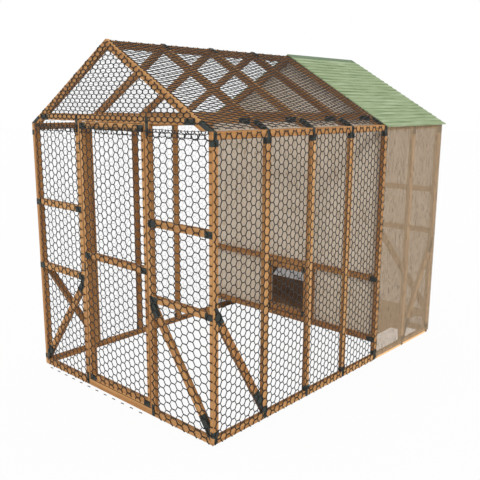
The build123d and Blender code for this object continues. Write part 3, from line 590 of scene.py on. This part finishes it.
def net_piece(origin, across, up, corners, seed, cell, turned=False, ragged=WIRE_CUT, radius=WIRE_RADIUS):
    """Points and faces of one net laid on a plane: u across, v up, and out of it by across x up. The
    net's wires run across, or up where it is turned. Cell is the step between columns and half the
    step between gaps, which change as the net is pulled one way or the other. It sways out of its
    plane by a product of two sines."""
    corners = [(float(u), float(v)) for u, v in corners]
    wide, tall = max(u for u, v in corners), max(v for u, v in corners)
    lines = net_lines(tall, wide, *cell) if turned else net_lines(wide, tall, *cell)
    if turned:
        lines = lines[..., [1, 0, 2]]
    kept = inside(lines, corners, ragged, seed)
    across, up = np.asarray(across, float), np.asarray(up, float)
    out = np.cross(across, up)
    sway = NET_SWAY * np.sin(9.0 * lines[..., 0:1] + 0.7 * seed) * np.sin(7.0 * lines[..., 1:2])
    places = np.asarray(origin, float) + lines[..., 0:1] * across + lines[..., 1:2] * up
    places = places + (lines[..., 2:3] + sway) * out
    return drawn_wire(places, out, kept, radius)


def edge_wires(origin, across, up, wide, heights, seed):
    """The straight wires along a width's edge: u across from 0 to wide at each height v, which wanders
    by a sum of two sines."""
    along = np.linspace(0, wide, int(wide / EDGE_STEP) + 2)
    height = np.asarray(heights)[:, None]
    wander = np.sin(11 * along + 2 * seed + 50 * height) + np.sin(29 * along + seed - 80 * height)
    across, up = np.asarray(across, float), np.asarray(up, float)
    rise = height + EDGE_WANDER * wander
    places = np.asarray(origin, float) + along[None, :, None] * across + rise[..., None] * up
    kept = np.ones(places.shape[:2], bool)
    kept[:, [0, -1]] = False
    return drawn_wire(places, np.cross(across, up), kept, EDGE_RADIUS)


def joined(parts):
    """Points and faces of several parts as one, each part's faces counted on past the points before."""
    points = np.concatenate([part[0] for part in parts])
    offsets = np.cumsum([0] + [len(part[0]) for part in parts[:-1]])
    return points, np.concatenate([part[1] + offset for part, offset in zip(parts, offsets)])


def hang_net(name, parts, body, *nodes):
    """One netting piece of several parts, in place of its CAD nodes."""
    net = lay_surface(name, *joined(parts), net_wire, body, "wire_netting", crease=60)
    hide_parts(*nodes)


def rectangle(wide, tall):
    """An outline's corners, anticlockwise from its low left corner."""
    return [(0, 0), (wide, 0), (wide, tall), (0, tall)]


# Side wall nets. One width of netting stands along each side of the run, from the sill to the wall
# plate, with its ragged back end left lying on the siding. On the far side it is drawn in thinner wire,
# as the reference picture shows one layer of net where two would cross.
NET_SEAT = WIRE_RADIUS + TWIST_RADIUS
wall_low, wall_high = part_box("net_right")
SIDE_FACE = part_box("posts_right")[1].x + NET_SEAT
BACK_END = 0.045
SIDE_RAGGED = 0.06
FAR_RADIUS = 0.0009
SIDE_CELL = (0.0578, 0.0385)
side_corners = rectangle(wall_high.y + BACK_END - FRONT_FACE, wall_high.z - wall_low.z)
right_net = net_piece(
    (SIDE_FACE, FRONT_FACE, wall_low.z), BACKWARD, UPWARD, side_corners, 1, SIDE_CELL,
    ragged=(0.0, SIDE_RAGGED, 0.0, 0.0),
)
hang_net("netting_right", [right_net], "root", "net_right")
left_net = net_piece(
    (-SIDE_FACE, wall_high.y + BACK_END, wall_low.z), FORWARD, UPWARD, side_corners, 2, SIDE_CELL,
    ragged=(0.0, 0.0, 0.0, SIDE_RAGGED), radius=FAR_RADIUS,
)
hang_net("netting_left", [left_net], "root", "net_left")

# Front nets beside the door. A cut strip doubles their top edge, where the gable's net overlaps, and
# runs on over the door's own net. Its lower edge is cut unevenly, and its edge wires stay on it.
FRONT_SEAT = FRONT_FACE - NET_SEAT
STRIP_LOW = 2.450
STRIP_TALL = 0.080
STRIP_WIRES = (0.018, 0.048, 0.072)
STRIP_RAGGED = 0.02
STRIP_SHORT = 0.002
# Each panel is pulled by its own amount as it is stapled, so its gaps have their own width.
GABLE_CELL = (0.0355, 0.0370)
FRONT_CELLS = {"left": (0.0650, 0.0400), "right": (0.0755, 0.0396)}
DOOR_CELL = (0.0665, 0.0400)
PAST_TWIST = 0.02


def doubled_strip(low, high, seed):
    """The doubled edge over a front net, across the net's width from low to high: a strip of the
    gable's netting over the one under it, and its edge wires."""
    wide = high.x - STRIP_SHORT - (low.x + STRIP_SHORT)
    origin = (low.x + STRIP_SHORT, FRONT_SEAT - NET_SEAT, STRIP_LOW)
    strip = rectangle(wide, STRIP_TALL)
    cut = (STRIP_RAGGED, 0.0, 0.0, 0.0)
    net = net_piece(origin, RIGHTWARD, UPWARD, strip, seed, GABLE_CELL, turned=True, ragged=cut)
    return [net, edge_wires(origin, RIGHTWARD, UPWARD, wide, STRIP_WIRES, seed)]


def fitted(wide, step):
    """The column step nearest the given one that ends a width with a whole twist at its far edge."""
    last = TWIST_SHARE / 2 + PAST_TWIST
    return wide / (round(wide / step - last) + last)


for side, seed in (("left", 3), ("right", 4)):
    low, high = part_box("net_front_" + side)
    wide = high.x - low.x
    sheet = rectangle(wide, high.z - low.z)
    cell = (fitted(wide, FRONT_CELLS[side][0]), FRONT_CELLS[side][1])
    net = net_piece((low.x, FRONT_SEAT, low.z), RIGHTWARD, UPWARD, sheet, seed, cell, ragged=0.0)
    parts = [net] + doubled_strip(low, high, seed + 10)
    hang_net("netting_front_" + side, parts, "root", "net_front_" + side)

# Gable net. The same netting turned a quarter, so that its wires run up and down, and cut to the
# front rafters.
gable_low, gable_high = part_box("net_gable")
gable_wide, gable_tall = gable_high.x - gable_low.x, gable_high.z - gable_low.z
gable_net = net_piece(
    (gable_low.x, FRONT_SEAT, gable_low.z), RIGHTWARD, UPWARD,
    [(0, 0), (gable_wide, 0), (gable_wide / 2, gable_tall)], 5, GABLE_CELL, turned=True,
)
hang_net("netting_gable", [gable_net], "root", "net_gable")

# Roof nets. One width of netting on each slope of the run, over the rafters and the saddles, pulled
# along the run so that its gaps are long and narrow. It stops short of the ridge, and on the right it
# reaches over the front net's top edge.
roof_low, roof_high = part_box("net_roof_right")
slope_long = (roof_high.z - roof_low.z) / np.sin(SLOPE)
RIDGE_SHORT = 0.032
ROOF_CELL = (0.0680, 0.0225)
ROOF_LEAD = 0.0105
ROOF_RAGGED = (WIRE_CUT, WIRE_CUT, WIRE_CUT, 0.001)
roof_corners = rectangle(roof_high.y - FRONT_FACE, slope_long - RIDGE_SHORT)
led_corners = [(u + ROOF_LEAD, v) for u, v in roof_corners]
up_right = (-np.cos(SLOPE), 0.0, np.sin(SLOPE))
up_left = (np.cos(SLOPE), 0.0, np.sin(SLOPE))
eave = roof_high.x - WIRE_RADIUS
roof_seat = roof_low.z + NET_SEAT
right_net = net_piece(
    (eave, FRONT_FACE - ROOF_LEAD, roof_seat), BACKWARD, up_right, led_corners, 6, ROOF_CELL,
    ragged=ROOF_RAGGED,
)
hang_net("netting_roof_right", [right_net], "root", "net_roof_right")
left_net = net_piece(
    (-eave, roof_high.y, roof_seat), FORWARD, up_left, roof_corners, 7, ROOF_CELL, radius=FAR_RADIUS,
)
hang_net("netting_roof_left", [left_net], "root", "net_roof_left")

# Front door's net. A piece cut to the leaf inside its hinge line, with its own length of the doubled
# strip, so that both swing with the door.
leaf_low, leaf_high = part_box("front_door_net")
leaf_corners = rectangle(leaf_high.x - leaf_low.x, leaf_high.z - leaf_low.z)
leaf_at = (leaf_low.x, FRONT_SEAT, leaf_low.z)
door_parts = [net_piece(leaf_at, RIGHTWARD, UPWARD, leaf_corners, 8, DOOR_CELL)]
door_parts += doubled_strip(leaf_low, leaf_high, 18)
hang_net("netting_front_door", door_parts, "front_door", "front_door_net")

# Hem of the front netting. The netting's foot turned out flat on the ground, so that nothing digs in
# under the front sill, and cut through the middle of its gaps.
HEM_RAGGED = 0.022
hem_low, hem_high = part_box("net_hem")
hem_corners = rectangle(hem_high.x - hem_low.x, hem_high.y - hem_low.y)
hem_net = net_piece(
    (hem_high.x, hem_high.y, NET_SEAT), LEFTWARD, FORWARD, hem_corners, 9, DOOR_CELL, ragged=HEM_RAGGED
)
hang_net("netting_hem", [hem_net], "root", "net_hem")

# Staples. Short wires bent square, driven over the netting into the run's posts and the two posts of
# the front doorway, about a hand's length apart.
STAPLE_WIDE = 0.011
STAPLE_SPACING = 0.150
STAPLE_DEEP = 0.008
STAPLE_RADIUS = 0.0009
STAPLE_LOW = 0.15
SIDE_STAPLE_TOP = 2.38
FRONT_STAPLE_TOP = 2.40


def driven_staples(places, across, out):
    """Staples at places: a leg up out of the timber, a crown across, and a leg back down. The legs'
    ends are doubled, and the doubles close the wire."""
    across, out = np.asarray(across, float), np.asarray(out, float)
    crown = NET_SEAT + WIRE_RADIUS
    shares = (-0.5, -0.5, -0.5, 0.5, 0.5, 0.5)
    heights = (-STAPLE_DEEP, -STAPLE_DEEP, crown, crown, -STAPLE_DEEP, -STAPLE_DEEP)
    steps = [share * STAPLE_WIDE * across + height * out for share, height in zip(shares, heights)]
    lines = places[:, None] + np.array(steps)
    kept = np.ones(lines.shape[:2], bool)
    kept[:, [0, -1]] = False
    return drawn_wire(lines, np.cross(across, out), kept, STAPLE_RADIUS)


def up_a_post(x, y, top):
    """Places up a post, a staple spacing apart."""
    heights = np.arange(STAPLE_LOW, top, STAPLE_SPACING)
    return np.stack([0 * heights + x, 0 * heights + y, heights], axis=1)


post_low, post_high = solids("posts_right")
stapled = post_high[:, 1] < SIDING_START + TIMBER_FACE
staples = []
for x, out in ((SIDE_FACE - NET_SEAT, RIGHTWARD), (NET_SEAT - SIDE_FACE, LEFTWARD)):
    for y in ((post_low + post_high) / 2)[stapled, 1]:
        staples.append(driven_staples(up_a_post(x, y, SIDE_STAPLE_TOP), BACKWARD, out))
doorway = (solids("door_posts")[0][:, 0].min() + TIMBER_FACE / 2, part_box("door_posts")[1].x - TIMBER_FACE / 2)
for x in doorway:
    staples.append(driven_staples(up_a_post(x, FRONT_FACE, FRONT_STAPLE_TOP), RIGHTWARD, FORWARD))
lay_surface("net_staples", *joined(staples), net_wire, "root", "wire_netting", crease=60)


# Coop siding. Thin rough-sawn tan sheets nailed to the coop's frame. The reference picture draws them
# see-through, so that the frame behind shows, with short dark strokes of texture running down them.
STREAKS = (70, 70, 1.6)
STREAK_CLEARNESS = 0.12
STROKES = (88, 88, 14)
STROKE_SHARE = 0.8
STROKE_SOLID = 0.85


def siding_sheet(name, clear, dark, pale, stroke_tone):
    """A thin sheet with vertical streaks and strokes, clear at its palest streaks."""
    material = bpy.data.materials.new(name)
    material.use_nodes = True
    tree = material.node_tree
    shader = tree.nodes["Principled BSDF"]
    place = put(tree, "TexCoord").outputs["Object"]
    streaks = stretched_noise(tree, place, STREAKS, 3.0)
    strokes = stretched_noise(tree, place, STROKES, 0.0)
    stroke = ranged(tree, strokes, 0.63, 0.72, 0.0, STROKE_SHARE)
    sheet = blended(tree, ranged(tree, streaks, 0.3, 0.7), dark, pale)
    tree.links.new(blended(tree, stroke, sheet, stroke_tone), shader.inputs["Base Color"])
    streak_solid = ranged(tree, streaks, 0.3, 0.7, clear + STREAK_CLEARNESS, clear)
    solid = sums(tree, "MAXIMUM", streak_solid, sums(tree, "MULTIPLY", stroke, STROKE_SOLID))
    tree.links.new(solid, shader.inputs["Alpha"])
    shader.inputs["Roughness"].default_value = 0.75
    bump = put(tree, "Bump", {"Height": streaks, "Strength": 0.4, "Distance": 0.001})
    tree.links.new(bump.outputs[0], shader.inputs["Normal"])
    return material


finish_in(
    siding_sheet("outer_siding", 0.42, seen(158, 134, 104), seen(194, 170, 140), seen(112, 92, 74)),
    "siding_right", "siding_left", "siding_back", "back_door_siding",
)
# Painted light: the coop's front sheet is given much paler colours than the outer sheets, making up for the
# shade that the roof and the other sheets cast on it.
finish_in(
    siding_sheet("coop_front_siding_painted_light", 0.62, seen(226, 208, 184), seen(248, 234, 214), seen(196, 172, 142)),
    "siding_coop_front",
)


# Coop roofing. Thin split shakes in pale green, laid in courses from the eave up, each course over the
# top of the one below, on a flat deck. Widths and butts are uneven, as split wood is.
COURSES = 21
DECK_TOP = 0.0065
DECK_LOW = 0.0020
DECK_TONE = 0.5
SHAKE_BUTT = 0.0160
SHAKE_TIP = 0.0070
SHAKE_LAP = 0.012
SHAKE_WIDTHS = (0.12, 0.34)
SHAKE_GAP = 0.002
BUTT_WANDER = 0.006
BUTT_THINNING = 0.0025
TIP_THINNING = 0.0005
TIP_SUNK = 0.001
EAVE_OVER = 0.040
CAP_LEG = 0.070
SHAKE_COLOURS = (seen(150, 167, 127), seen(162, 178, 140))
plate_x, plate_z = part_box("wall_plates")[1].x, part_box("wall_plates")[1].z


def on_slope(side, up, lift, y):
    """Places on a roof slope: up it from the wall plate's outer edge, and lifted square to it."""
    x = plate_x - up * np.cos(SLOPE) + lift * np.sin(SLOPE)
    return np.stack([side * x, y, plate_z + up * np.sin(SLOPE) + lift * np.cos(SLOPE)], axis=-1)


def shake_material():
    """Painted split wood: a tone for each shake, with darker and paler streaks along the course."""
    material = bpy.data.materials.new("green_shakes")
    material.use_nodes = True
    tree = material.node_tree
    shader = tree.nodes["Principled BSDF"]
    place = put(tree, "TexCoord").outputs["Object"]
    tone = put(tree, "Attribute", attribute_name="tone").outputs["Fac"]
    streaks = stretched_noise(tree, place, (46, 2.6, 46), 4.0)
    fibres = stretched_noise(tree, place, (260, 260, 16), 2.0)
    paint = blended(tree, tone, *SHAKE_COLOURS)
    streaked = blended(tree, ranged(tree, streaks, 0.42, 0.68), paint, seen(122, 142, 101))
    pale_streaks = stretched_noise(tree, place, (70, 1.8, 70), 3.0)
    streaked = blended(tree, ranged(tree, pale_streaks, 0.55, 0.72), streaked, seen(184, 197, 164))
    tree.links.new(streaked, shader.inputs["Base Color"])
    shader.inputs["Roughness"].default_value = 0.8
    height = sums(tree, "ADD", streaks, sums(tree, "MULTIPLY", fibres, 0.4))
    bump = put(tree, "Bump", {"Height": height, "Strength": 0.5, "Distance": 0.0015})
    tree.links.new(bump.outputs[0], shader.inputs["Normal"])
    return material


green_shakes = shake_material()


def shake_rows(start, end, draw):
    """The edges of a course's shakes from start to end, each as wide as drawn."""
    edges = [start]
    while edges[-1] < end - SHAKE_WIDTHS[1]:
        edges.append(edges[-1] + draw.uniform(*SHAKE_WIDTHS))
    return np.array(edges + [end])


def lay_roof(name, side, node, seed):
    """A slope's deck and shakes, each a wedge of eight corners from its butt to its tip."""
    low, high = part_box(node)
    draw = np.random.default_rng(seed)
    eave = -EAVE_OVER / np.cos(SLOPE)
    ridge = plate_x / np.cos(SLOPE)
    flat = ridge + SHAKE_TIP * np.tan(SLOPE) - CAP_LEG
    course = (flat - eave) / COURSES
    wedges = [(eave, ridge, low.y, high.y, DECK_TOP, DECK_TOP, DECK_LOW, DECK_LOW, DECK_TONE)]
    for number in range(COURSES):
        butt = eave + number * course
        edges = shake_rows(low.y, high.y, draw)
        for y0, y1 in zip(edges + SHAKE_GAP / 2, edges[1:] - SHAKE_GAP / 2):
            start = butt + draw.uniform(0, BUTT_WANDER)
            tip = min(butt + course + SHAKE_LAP, ridge)
            butt_top = SHAKE_BUTT - draw.uniform(0, BUTT_THINNING)
            tip_top = SHAKE_TIP - draw.uniform(0, TIP_THINNING)
            tone = draw.uniform(0, 1)
            under = (DECK_TOP, DECK_TOP - TIP_SUNK)
            wedges.append((start, tip, y0, y1, butt_top, tip_top, *under, tone))
    wedge = np.array(wedges)
    up0, up1, y0, y1, top0, top1, under0, under1, tone = wedge.T
    corners = [
        (up0, under0, y0), (up1, under1, y0), (up1, under1, y1), (up0, under0, y1),
        (up0, top0, y0), (up1, top1, y0), (up1, top1, y1), (up0, top0, y1),
    ]
    points = np.stack([on_slope(side, up, lift, y) for up, lift, y in corners], axis=1)
    sides = np.array([(0, 1, 2, 3), (4, 7, 6, 5), (0, 4, 5, 1), (1, 5, 6, 2), (2, 6, 7, 3), (3, 7, 4, 0)])
    if side > 0:
        sides = sides[:, ::-1]
    quads = (sides[None] + 8 * np.arange(len(wedge))[:, None, None]).reshape(-1, 4)
    roof = lay_surface(name, points.reshape(-1, 3), quads, green_shakes, "root", "roofing")
    shade = roof.data.attributes.new("tone", "FLOAT", "FACE")
    shade.data.foreach_set("value", np.repeat(tone, 6))
    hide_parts(node)


lay_roof("shakes_right", 1, "roof_right", 21)
lay_roof("shakes_left", -1, "roof_left", 22)

# Ridge cap. One strip of sheet metal folded over both slopes' upper edges, in a darker green coat that
# wears to a paler one.
finish_in(coated_metal("ridge_coat", seen(78, 104, 66), seen(116, 142, 98)), "ridge_cap")

# Hinges and barrel bolts. Dark plated steel: butt hinges of two leaves and a pin in the doors' gaps,
# and bolts that are rods sliding in bored blocks.
finish_in(
    coated_metal("plated_steel", seen(96, 96, 92), seen(128, 126, 120), metallic=0.8),
    "hinge_leaves_fixed", "front_door_hinges", "back_door_hinges", "pop_door_hinges",
    "front_bolt", "back_bolt", "front_bolt_guide", "back_bolt_guide", "bolt_keepers",
)

# Studio. A pale floor that keeps the shadow, an even pale sky, and one soft sun from the right. Floor
# and sky look white where the camera, or glass or gloss, shows them directly.
FLOOR_HALF = 60.0
FLOOR_LOW = -0.002
FLOOR_TONE = 0.94
FLOOR_WHITE = 0.93
SKY_LIGHT = 0.62
SUN_STRENGTH = 1.7
SUN_SPREAD = radians(14)
SUN_FROM = Vector((0.72, -0.52, 0.62))
floor_mesh = bpy.data.meshes.new("floor")
corners = [(x * FLOOR_HALF, y * FLOOR_HALF, FLOOR_LOW) for x, y in ((-1, -1), (1, -1), (1, 1), (-1, 1))]
floor_mesh.from_pydata(corners, [], [(0, 1, 2, 3)])
floor = bpy.data.objects.new("floor", floor_mesh)
bpy.context.scene.collection.objects.link(floor)
paper = bpy.data.materials.new("paper")
paper.use_nodes = True
tree = paper.node_tree
shader = tree.nodes["Principled BSDF"]
shader.inputs["Base Color"].default_value = (FLOOR_TONE, FLOOR_TONE, FLOOR_TONE, 1.0)
shader.inputs["Roughness"].default_value = 0.9
rays = put(tree, "LightPath").outputs
seen_directly = sums(tree, "MAXIMUM", rays["Is Camera Ray"], rays["Is Transmission Ray"])
white = put(tree, "Emission", {"Color": (1.0, 1.0, 1.0, 1.0), "Strength": 1.0})
share = sums(tree, "MULTIPLY", seen_directly, FLOOR_WHITE)
mixed = put(tree, "MixShader", {0: share, 1: shader.outputs[0], 2: white.outputs[0]})
tree.links.new(mixed.outputs[0], tree.nodes["Material Output"].inputs["Surface"])
floor_mesh.materials.append(paper)

world = bpy.data.worlds.new("studio")
bpy.context.scene.world = world
world.use_nodes = True
tree = world.node_tree
rays = put(tree, "LightPath").outputs
seen_directly = sums(tree, "MAXIMUM", rays["Is Camera Ray"], rays["Is Glossy Ray"])
seen_directly = sums(tree, "MAXIMUM", seen_directly, rays["Is Transmission Ray"])
strength = ranged(tree, seen_directly, 0.0, 1.0, SKY_LIGHT, 1.0)
sky = tree.nodes["Background"]
sky.inputs["Color"].default_value = (1.0, 1.0, 1.0, 1.0)
tree.links.new(strength, sky.inputs["Strength"])

sun_lamp = bpy.data.lights.new("sun", "SUN")
sun_lamp.energy = SUN_STRENGTH
sun_lamp.angle = SUN_SPREAD
sun = bpy.data.objects.new("sun", sun_lamp)
bpy.context.scene.collection.objects.link(sun)
sun.rotation_euler = SUN_FROM.to_track_quat("Z", "Y").to_euler()

# Camera, where the reference picture was taken from: to the right of the front corner, above head
# height, turned and tipped to look across the run, with a slight roll.
CAMERA_PLACE = Vector((4.6482, -5.2454, 2.7350))
CAMERA_TURN = 0.7416
CAMERA_TIP = 0.2095
CAMERA_ROLL = 0.0056
CAMERA_LENS = 48.41
CAMERA_SENSOR = 36.0
SIGHT_END = 200.0
lens = bpy.data.cameras.new("camera")
lens.sensor_width = CAMERA_SENSOR
lens.lens = CAMERA_LENS
lens.clip_end = SIGHT_END
camera = bpy.data.objects.new("camera", lens)
bpy.context.scene.collection.objects.link(camera)
upright = Matrix.Rotation(CAMERA_TURN, 4, "Z") @ Matrix.Rotation(radians(90) - CAMERA_TIP, 4, "X")
camera.matrix_world = Matrix.Translation(CAMERA_PLACE) @ upright @ Matrix.Rotation(CAMERA_ROLL, 4, "Z")
bpy.context.scene.camera = camera
bpy.context.scene.view_settings.view_transform = "Standard"
